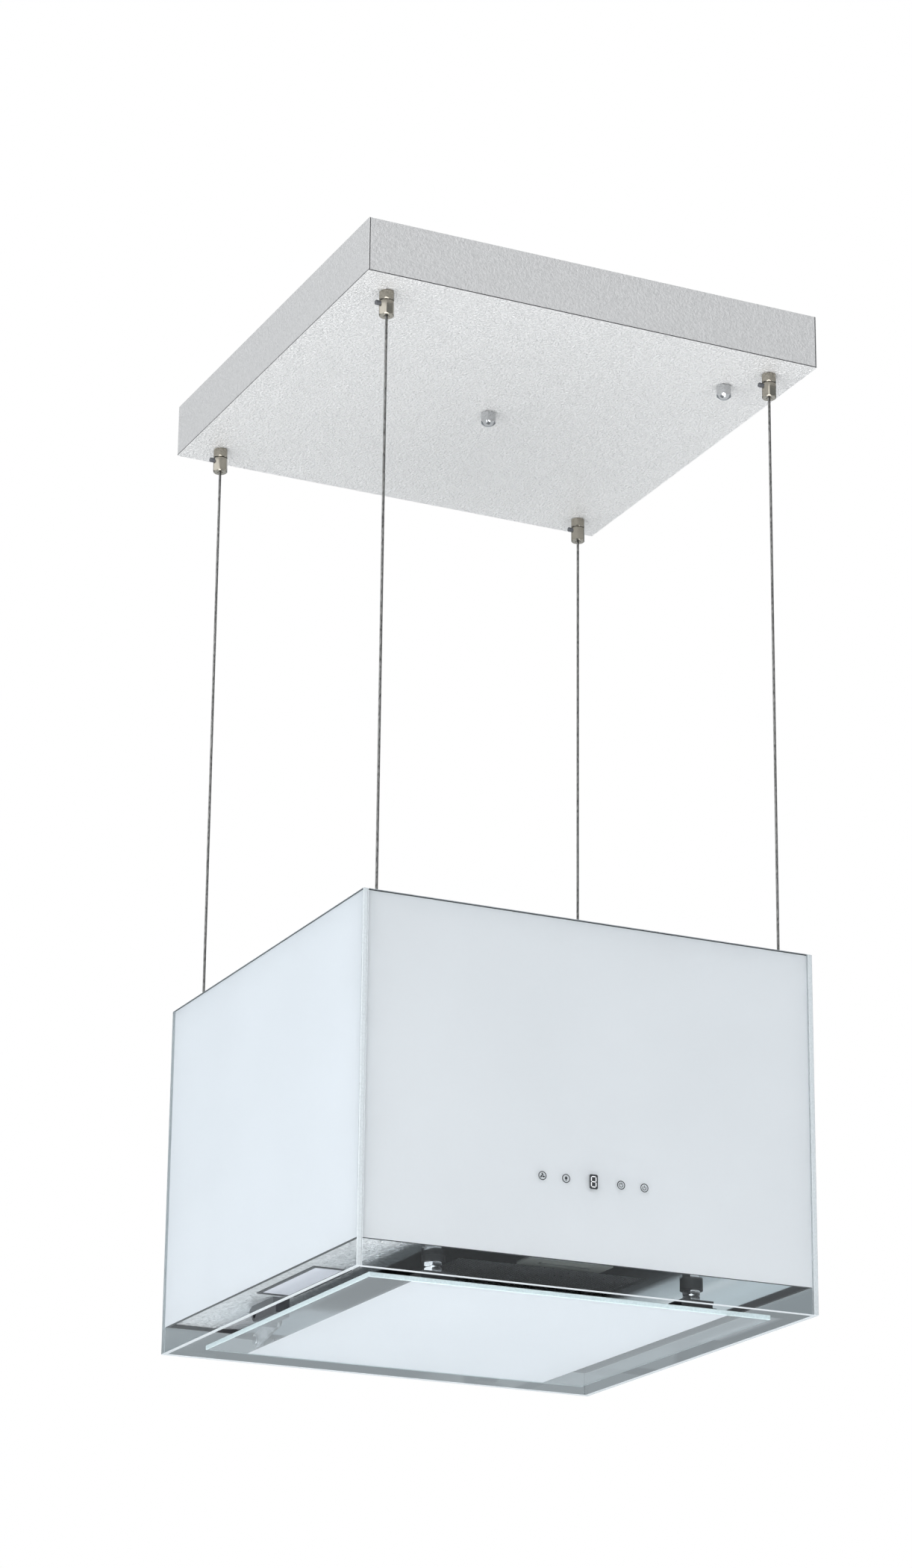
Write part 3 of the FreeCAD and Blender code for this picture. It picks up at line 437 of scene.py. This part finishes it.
# black fill for the canopy's seam grooves: painted shade
SEAM_SHADE = grained("seam_shade", (0.05, 0.05, 0.052), 0.6, 900, 0.00003, specular=0.2)
SLEEVE_BLACK = grained("sleeve_black", (0.016, 0.017, 0.018), 0.5, 900, 0.00003, specular=0.2)
LAMP_RIM = grained("lamp_rim", (0.02, 0.021, 0.023), 0.4, 900, 0.00003, specular=0.3)
POST_CHROME = brushed("post_chrome", (0.86, 0.87, 0.88), 0.10, 0.03, (300, 300, 300), 0.00001)
TOP_STEEL = brushed("top_steel", (0.62, 0.64, 0.66), 0.24, 0.06, (40, 900, 600), 0.00002)
ICON_INK = grained("icon_ink", (0.02, 0.022, 0.025), 0.4, 900, 0.00001)
DIGIT_INK = grained("digit_ink", (0.80, 0.82, 0.84), 0.35, 900, 0.00001, contrast=0.05)
FINISH_OF = {
    "glass_left": SIDE_GLASS, "glass_right": SIDE_GLASS,
    "glass_front": FRONT_GLASS, "glass_back": FRONT_GLASS,
    "baffle_glass": BAFFLE_GLASS,
    "lamp_rims": LAMP_RIM,
    "catch_sleeves": SLEEVE_BLACK,
    "catch_posts": POST_CHROME,
    # the filter frame takes the steel sheet's finish, with its painted light and painted shade
    "filter_frame": FINISHES["polished_steel"],
    "casing_top": TOP_STEEL, "outlet_grille": TOP_STEEL,
}


def finish_nodes():
    """Every CAD node takes a finish of its own, or else the finish of its slot."""
    for name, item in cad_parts.items():
        for slot in item.material_slots:
            kind = slot.material.name.split(".")[0]
            slot.material = FINISH_OF.get(name) or FINISHES[kind]


# ---------------------------------------------------------------- pieces

def piece(name, mesh, body, slot, *materials):
    """A mesh in the row frame as a piece that rides on a body."""
    item = bpy.data.objects.new(name, mesh)
    bpy.context.scene.collection.objects.link(item)
    for mat in materials:
        mesh.materials.append(mat)
    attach(item, body)
    return item


def mesh_from(name, build):
    """A mesh made by a function that fills a bmesh."""
    bm = bmesh.new()
    build(bm)
    bmesh.ops.recalc_face_normals(bm, faces=bm.faces)
    mesh = bpy.data.meshes.new(name)
    bm.to_mesh(mesh)
    bm.free()
    return mesh


def slab(bm, low, high):
    """A closed box from low to high."""
    made = bmesh.ops.create_cube(bm, size=1)["verts"]
    low, high = Vector(low), Vector(high)
    for v in made:
        v.co = Vector((low[i] + (v.co[i] + 0.5) * (high[i] - low[i]) for i in range(3)))


def square_ring(bm, outer, inner, low, high):
    """A closed square ring between two half widths and two levels."""
    loops = [[bm.verts.new((i * r, j * r, z)) for i, j in SQUARE]
             for r, z in ((outer, low), (outer, high), (inner, high), (inner, low))]
    for a, b in zip(loops, loops[1:] + loops[:1]):
        for k in range(4):
            m = (k + 1) % 4
            bm.faces.new((a[k], a[m], b[m], b[k]))


# the grooves of the ceiling box, and how far the black fill, painted shade, lies back from its faces
SEAM_INSET, SEAM_WIDTH, SEAM_DEPTH, SEAM_FACE = 0.0004, 0.0009, 0.0007, 0.0001


def canopy_seam_shade():
    """Black fill in the seams of the ceiling box, round its foot and down the corners: painted shade in
    the grooves.
    """
    low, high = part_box("canopy_cover")
    foot, head = low.z + SEAM_INSET, low.z + SEAM_INSET + SEAM_WIDTH
    outer, inner = high.x - SEAM_FACE, high.x - SEAM_DEPTH
    far = high.x - SEAM_INSET
    near = far - SEAM_WIDTH

    def build(bm):
        square_ring(bm, outer, inner, foot, head)
        for i, j in CORNERS.values():
            x0, x1 = sorted((i * near, i * far))
            y0, y1 = sorted((j * inner, j * outer))
            slab(bm, (x0, y0, head), (x1, y1, high.z))
    piece("canopy_seam_shade", mesh_from("canopy_seam_shade", build), "ceiling", "black_rubber", SEAM_SHADE)


def top_dark_strip():
    """Thin black strip along the top of the paint, seen through the panes as a dark line."""
    sunk = 0.00005

    def build(bm):
        square_ring(bm, PAINT_FAR, PAINT_NEAR, GLASS_TOP - TOP_STRIP_HEIGHT, GLASS_TOP - sunk)
    piece("top_dark_strip", mesh_from("top_dark_strip", build), "hood", "black_rubber", FINISHES["black_rubber"])


def pane_paint(name, side, across, finish):
    """White paint just inside the pane on one side, down to the clear strip."""
    near, far = sorted((side * PAINT_NEAR, side * PAINT_FAR))
    low, high = [-PAINT_NEAR, -PAINT_NEAR, PAINT_UNDER], [PAINT_NEAR, PAINT_NEAR, GLASS_TOP - TOP_STRIP_HEIGHT]
    low[across], high[across] = near, far
    piece(name, mesh_from(name, lambda bm: slab(bm, low, high)), "hood", "white_glass", finish)


def back_paint():
    """The paint of the four panes, and of the baffle's middle, whose upper face is dark as painted shade.
    """
    pane_paint("paint_left", -1, 0, WHITE_PAINT)
    pane_paint("paint_front", -1, 1, SHADED_FRONT_PAINT)
    pane_paint("paint_right", 1, 0, WHITE_PAINT)
    pane_paint("paint_back", 1, 1, WHITE_PAINT)
    inset, sunk, proud = 0.0006, 0.0001, 0.00005
    low = (-WHITE_HALF, BAFFLE_LOW.y + inset, BAFFLE_HIGH.z - sunk)
    high = (WHITE_HALF, BAFFLE_HIGH.y - inset, BAFFLE_HIGH.z + proud)
    mesh = mesh_from("paint_baffle", lambda bm: slab(bm, low, high))
    piece("paint_baffle", mesh, "panel", "baffle_white_glass", WHITE_PAINT, PAINT_BACK_SHADE)
    # the upper face takes the dark coat, painted shade
    for face in mesh.polygons:
        face.material_index = 1 if face.normal.z > 0.5 else 0


def route(points):
    """Points along a smooth NURBS line with these control points."""
    curve = bpy.data.curves.new("route", "CURVE")
    curve.dimensions = "3D"
    spline = curve.splines.new("NURBS")
    spline.points.add(len(points) - 1)
    for point, place in zip(spline.points, points):
        point.co = (*place, 1)
    spline.order_u = 3
    spline.use_endpoint_u = True
    holder = bpy.data.objects.new("route", curve)
    mesh = bpy.data.meshes.new_from_object(holder)
    line = [v.co.copy() for v in mesh.vertices]
    bpy.data.objects.remove(holder)
    bpy.data.curves.remove(curve)
    bpy.data.meshes.remove(mesh)
    return line


STRANDS, STRAND_SIDES, LAY, RINGS_PER_LAY = 6, 6, 0.009, 12
STRAND_RADIUS, ROPE_RADIUS, ROPE_LENGTH = 0.00042, 0.0012, 0.546


def spaced(line, count):
    """Points at even distances along a line of points."""
    lengths = [0.0]
    for a, b in zip(line, line[1:]):
        lengths.append(lengths[-1] + (b - a).length)
    places = []
    for k in range(count + 1):
        distance = lengths[-1] * k / count
        i = min(bisect_right(lengths, distance), len(line) - 1) - 1
        share = (distance - lengths[i]) / (lengths[i + 1] - lengths[i])
        places.append(line[i].lerp(line[i + 1], share))
    return places


def tube_through(bm, rings, smooth):
    """Faces that join a row of rings of vertices, closed at both ends."""
    for a, b in zip(rings, rings[1:]):
        for n in range(len(a)):
            m = (n + 1) % len(a)
            bm.faces.new((a[n], a[m], b[m], b[n])).smooth = smooth
    bm.faces.new(rings[0])
    bm.faces.new(rings[-1])


def stranded(line):
    """Strands twisted round an upright line of points, as a bmesh filler."""
    centres = spaced(line, round(ROPE_LENGTH / LAY * RINGS_PER_LAY))
    across, side = Vector((1, 0, 0)), Vector((0, 1, 0))

    def strand_ring(bm, centre, turn):
        out = across * math.cos(turn) + side * math.sin(turn)
        tangent = -across * math.sin(turn) + side * math.cos(turn)
        middle = centre + out * (ROPE_RADIUS - STRAND_RADIUS)
        angles = [math.tau * n / STRAND_SIDES for n in range(STRAND_SIDES)]
        return [bm.verts.new(middle + (out * math.cos(a) + tangent * math.sin(a)) * STRAND_RADIUS)
                for a in angles]

    def build(bm):
        for strand in range(STRANDS):
            start = math.tau * strand / STRANDS
            rings = [strand_ring(bm, centre, start + math.tau * k / RINGS_PER_LAY)
                     for k, centre in enumerate(centres)]
            tube_through(bm, rings, True)
    return build


def ropes():
    """Four stranded suspension ropes, taut between the anchors and the grips."""
    half, low, high = 0.180, -0.580, -0.034
    near_anchor, near_grip = -0.558, -0.085
    for corner, (i, j) in CORNERS.items():
        x, y = i * half, j * half
        line = route([(x, y, low), (x, y, near_anchor), (x, y, near_grip), (x, y, high)])
        name = "rope_" + corner
        rope = piece(name, mesh_from(name, stranded(line)), "hood", "wire_rope", FINISHES["wire_rope"])
        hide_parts("cable_" + corner)


def rod_between(bm, points, radius, sides=4):
    """A thin rod through points, its rings kept level across the run."""
    lift = Vector((0, 0, 1))
    rings = []
    for k, point in enumerate(points):
        ahead = points[min(k + 1, len(points) - 1)] - points[max(k - 1, 0)]
        across = Vector((-ahead.y, ahead.x, 0)).normalized()
        angles = [math.tau * n / sides for n in range(sides)]
        rings.append([bm.verts.new(point + (across * math.cos(a) + lift * math.sin(a)) * radius)
                      for a in angles])
    tube_through(bm, rings, False)


def clipped(origin, direction, low, high):
    """Where a slanted level line enters and leaves a rectangle, as distances, or None if it's short."""
    start, end = -math.inf, math.inf
    shortest = 0.002
    for i in range(2):
        a, b = sorted(((low[i] - origin[i]) / direction[i], (high[i] - origin[i]) / direction[i]))
        start, end = max(start, a), min(end, b)
    return (start, end) if end - start > shortest else None


def wire_layer(bm, low, high, turn, pitch, level, radius, wave=0.0, shift=0):
    """Parallel wires across a rectangle, at a turn in degrees. A wave takes them over and under."""
    middle, span = (low + high) / 2, (high - low).length / 2
    angle = math.radians(turn)
    direction = Vector((math.cos(angle), math.sin(angle)))
    normal = Vector((-direction.y, direction.x))
    count = int(span / pitch)
    for k in range(-count, count + 1):
        origin = Vector((middle.x, middle.y)) + normal * (k * pitch)
        reach = clipped(origin, direction, low, high)
        if not reach:
            continue
        stops = list(reach)
        if wave:
            first, last = math.ceil(reach[0] / pitch), math.floor(reach[1] / pitch)
            stops[1:1] = [n * pitch for n in range(first, last + 1)]
        points = []
        for stop in stops:
            flat = origin + direction * stop
            up = (round(stop / pitch) + k + shift) % 2
            points.append(Vector((flat.x, flat.y, level + (wave if up else -wave))))
        rod_between(bm, points, radius)


def filter_weave():
    """Woven wire in the grease filter, with two layers of straight wire over it."""
    low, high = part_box("filter_mesh")
    woven_pitch, woven_radius, wave = 0.0022, 0.00038, 0.00032
    straight_pitch, straight_radius = 0.0025, 0.0004
    woven_level = low.z + 0.0009

    def build(bm):
        for shift, turn in enumerate((45, -45)):
            wire_layer(bm, low, high, turn, woven_pitch, woven_level, woven_radius, wave, shift)
        for turn, rise in ((38, 0.0024), (-38, 0.0032)):
            wire_layer(bm, low, high, turn, straight_pitch, low.z + rise, straight_radius)
    weave = piece("filter_weave", mesh_from("filter_weave", build), "hood", "mesh", FINISHES["mesh"])
    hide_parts("filter_mesh")


# ---------------------------------------------------------------- printed marks

INK_DEPTH = 0.00006    # how far the print stands proud of the glass


def plate(bm, outline):
    """A flat printed shape on the front glass from (x, z) points."""
    front = [bm.verts.new((x, GLASS_FRONT - INK_DEPTH, z)) for x, z in outline]
    back = [bm.verts.new((x, GLASS_FRONT, z)) for x, z in outline]
    bm.faces.new(front)
    bm.faces.new(back[::-1])
    for k in range(len(front)):
        m = (k + 1) % len(front)
        bm.faces.new((front[k], back[k], back[m], front[m]))


def ring_plate(bm, x, z, outer, inner, start=0.0, end=math.tau, steps=40):
    """A flat printed ring or arc."""
    closed = end - start > math.tau - 1e-6
    front, back = GLASS_FRONT - INK_DEPTH, GLASS_FRONT
    section = ((outer, front), (inner, front), (inner, back), (outer, back))
    loops = []
    for k in range(steps if closed else steps + 1):
        a = start + (end - start) * k / steps
        loops.append([bm.verts.new((x + r * math.cos(a), y, z + r * math.sin(a))) for r, y in section])
    pairs = zip(loops, loops[1:] + loops[:1]) if closed else zip(loops, loops[1:])
    for a, b in pairs:
        for n in range(4):
            m = (n + 1) % 4
            bm.faces.new((a[n], a[m], b[m], b[n]))
    if not closed:
        bm.faces.new(loops[0])
        bm.faces.new(loops[-1][::-1])


def disc_outline(x, z, radius_x, radius_z, turn=0.0, steps=20):
    """An ellipse, turned by an angle."""
    points = []
    for k in range(steps):
        a = math.tau * k / steps
        u, v = radius_x * math.cos(a), radius_z * math.sin(a)
        along = u * math.cos(turn) - v * math.sin(turn)
        rise = u * math.sin(turn) + v * math.cos(turn)
        points.append((x + along, z + rise))
    return points


def bar_outline(x, z, width, height, cut=0.0):
    """A rectangle, with cut corners if a cut is given."""
    w, h = width / 2, height / 2
    if not cut:
        return [(x + i * w, z + j * h) for i, j in SQUARE]
    return [(x - w + cut, z - h), (x + w - cut, z - h), (x + w, z - h + cut), (x + w, z + h - cut),
            (x + w - cut, z + h), (x - w + cut, z + h), (x - w, z + h - cut), (x - w, z - h + cut)]


def fan_symbol(bm, x, z):
    """Three slanted blades."""
    reach, half_width, slant = 0.0012, 0.0006, 0.5
    for k in range(3):
        a = math.pi / 2 + math.tau * k / 3
        middle_x, middle_z = x + reach * math.cos(a), z + reach * math.sin(a)
        plate(bm, disc_outline(middle_x, middle_z, reach, half_width, a + slant))


def lamp_symbol(bm, x, z):
    """A bulb above its cap."""
    plate(bm, disc_outline(x, z + 0.0003, 0.0011, 0.0013))
    plate(bm, bar_outline(x, z - 0.0016, 0.0011, 0.0006))


def timer_symbol(bm, x, z):
    """A clock face with one hand."""
    ring_plate(bm, x, z, 0.0019, 0.0014)
    plate(bm, bar_outline(x, z + 0.0006, 0.0004, 0.0012))


def power_symbol(bm, x, z):
    """An open ring with a bar in its gap."""
    ring_plate(bm, x, z - 0.0002, 0.0018, 0.0013, math.radians(130), math.radians(410))
    plate(bm, bar_outline(x, z + 0.0010, 0.0005, 0.0018))


def touch_marks():
    """Four ringed symbols (fan, lamp, timer, power) and a one-digit display."""
    low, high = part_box("touch_keys")
    z = (low.z + high.z) / 2
    outer, inner = 0.0035, 0.0028
    far, near = 0.0445, 0.024
    symbols = {-far: fan_symbol, -near: lamp_symbol, near: timer_symbol, far: power_symbol}

    def marks(bm):
        for x in symbols:
            ring_plate(bm, x, z, outer, inner)
        for x, symbol in symbols.items():
            symbol(bm, x, z)
    piece("touch_symbols", mesh_from("touch_symbols", marks), "hood", "dark_plastic", ICON_INK)

    def window(bm):
        width, height, cut = 0.0072, 0.0116, 0.0008
        plate(bm, bar_outline(0, z, width, height, cut))
    piece("display_window", mesh_from("display_window", window), "hood", "dark_plastic", ICON_INK)

    def digit(bm):
        wide, tall, stroke, gap, cut = 0.0040, 0.0041, 0.0007, 0.0008, 0.0002
        for level in (-1, 0, 1):
            plate(bm, bar_outline(0, z + level * tall, wide - gap, stroke, cut))
        for side in (-1, 1):
            for level in (-0.5, 0.5):
                plate(bm, bar_outline(side * wide / 2, z + level * tall, stroke, tall - gap, cut))
        for v in bm.verts:
            v.co.y -= INK_DEPTH
    piece("display_digit", mesh_from("display_digit", digit), "hood", "dark_plastic", DIGIT_INK)


# ---------------------------------------------------------------- stage

def make_floor():
    """A pale floor far below, so that it never hides the underside."""
    size, level = 9.0, -6.0

    def build(bm):
        corners = [bm.verts.new((i * size, j * size, level)) for i, j in SQUARE]
        bm.faces.new(corners)
    mesh = mesh_from("floor", build)
    floor = bpy.data.objects.new("floor", mesh)
    mat = material("floor", (0.88, 0.89, 0.90), 0.0, 0.7)
    shade(mat, noise(mat, (0.8, 0.8, 0.8)), (0.86, 0.87, 0.88), (0.90, 0.91, 0.92))
    mesh.materials.append(mat)
    bpy.context.scene.collection.objects.link(floor)


make_camera()
make_world()
area_light("key", (-2.6, -1.6, -2.0), (0, 0, -0.6), (2.0, 2.0), 22, (0.97, 0.99, 1.0))
area_light("under", (-0.3, -0.6, -3.0), (0, 0, -0.8), (2.4, 2.4), 53, (0.99, 0.99, 1.0))
make_floor()
finish_nodes()
back_paint()
top_dark_strip()
canopy_seam_shade()
ropes()
filter_weave()
touch_marks()
bpy.context.scene.view_settings.view_transform = "Standard"
